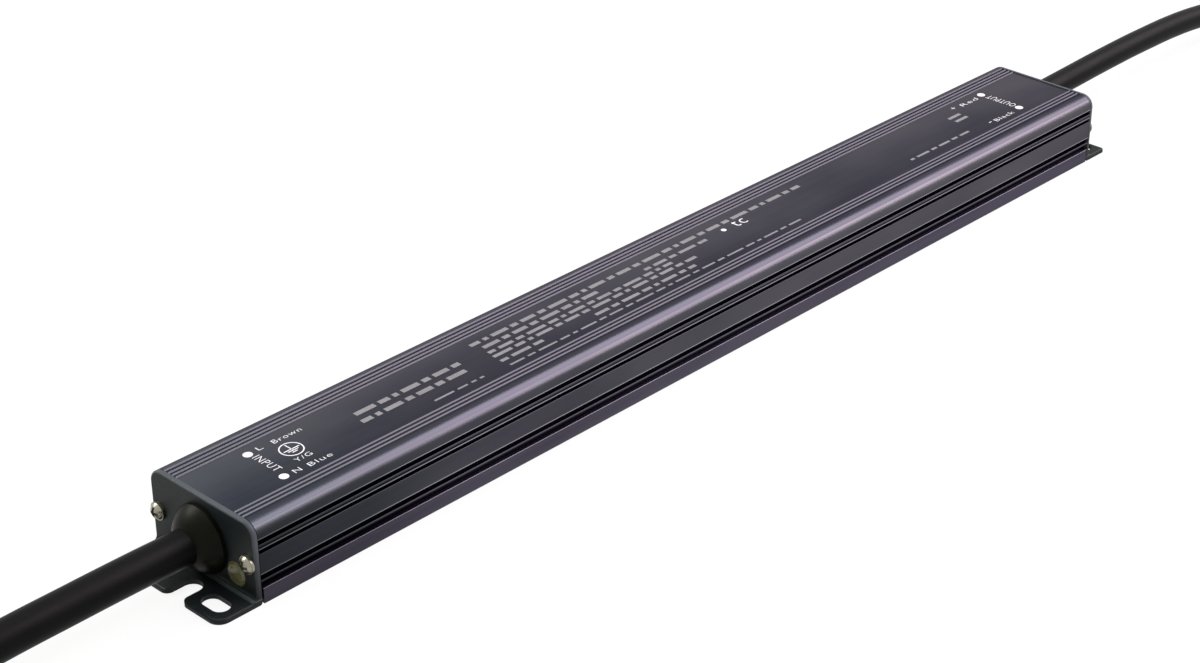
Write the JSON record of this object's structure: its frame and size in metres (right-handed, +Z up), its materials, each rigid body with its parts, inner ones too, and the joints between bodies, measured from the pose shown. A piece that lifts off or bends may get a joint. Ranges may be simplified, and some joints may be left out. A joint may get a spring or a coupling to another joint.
{
  "type": "led driver",
  "caption": "Slim LED driver: grooved aluminium housing on a slide-on base tray, closed by bent end plates with slotted feet, with a cable gland and flying lead at each end.",
  "frame": {"origin": "centre of the underside of the case, with the cables left out", "axes": "+X along the case from the mains input end to the low-voltage output end, +Z up out of the top face"},
  "size_m": [0.706, 0.035, 0.02],
  "materials": {
    "anodised_housing": "dark grey anodised extrusion, satin",
    "anodised_tray": "dark grey anodised, satin",
    "coated_plate": "dark slate powder coat",
    "gasket_rubber": "matt black sheet rubber",
    "gland_rubber": "moulded black rubber",
    "nickel_screw": "nickel plated",
    "seal_lacquer": "clear olive lacquer",
    "board_laminate": "green solder mask",
    "liner_film": "insulating film",
    "fuse_ceramic": "glazed ceramic",
    "blue_coating": "dipped epoxy",
    "yellow_case": "moulded case",
    "ferrite": "ground ferrite",
    "copper_wire": "enamelled wire",
    "moulding_black": "moulded epoxy",
    "capacitor_sleeve": "shrink sleeve",
    "thermal_silicone": "soft gap pad",
    "winding_tape": "polyester tape over wire",
    "moulding_white": "moulded epoxy",
    "cable_jacket": "satin black jacket",
    "core_brown": "extruded insulation",
    "core_blue": "extruded insulation",
    "core_green_yellow": "extruded insulation",
    "core_red": "extruded insulation",
    "core_black": "extruded insulation",
    "tinned_copper": "tinned strands"
  },
  "bodies": {
    "root": {"housing_profile": "anodised_housing", "base_tray": "anodised_tray", "input_end_plate": "coated_plate", "output_end_plate": "coated_plate", "input_gasket": "gasket_rubber", "output_gasket": "gasket_rubber", "input_gland": "gland_rubber", "output_gland": "gland_rubber", "input_end_screws": "nickel_screw", "output_end_screws": "nickel_screw", "tamper_seal": "seal_lacquer", "circuit_board": "board_laminate", "insulating_liner": "liner_film", "fuse": "fuse_ceramic", "surge_varistor": "blue_coating", "interference_capacitor": "yellow_case", "filter_choke_core": "ferrite", "filter_choke_windings": "copper_wire", "bridge_rectifier": "moulding_black", "dimming_controller": "moulding_black", "boost_inductor_core": "ferrite", "boost_inductor_former": "moulding_black", "boost_inductor_winding": "copper_wire", "storage_capacitors": "capacitor_sleeve", "power_transistors": "moulding_black", "thermal_pads": "thermal_silicone", "transformer_core": "ferrite", "transformer_former": "moulding_black", "transformer_winding": "winding_tape", "isolation_capacitor": "blue_coating", "optocoupler": "moulding_white", "output_rectifiers": "moulding_black", "output_capacitors": "capacitor_sleeve", "output_choke_core": "ferrite", "output_choke_winding": "copper_wire", "input_live_lead": "core_brown", "input_neutral_lead": "core_blue", "input_earth_lead": "core_green_yellow", "output_positive_lead": "core_red", "output_negative_lead": "core_black", "input_cable": "cable_jacket", "input_live_tail": "core_brown", "input_neutral_tail": "core_blue", "input_earth_tail": "core_green_yellow", "output_cable": "cable_jacket", "output_positive_tail": "core_red", "output_negative_tail": "core_black", "tinned_ends": "tinned_copper"}
  },
  "joints": []
}
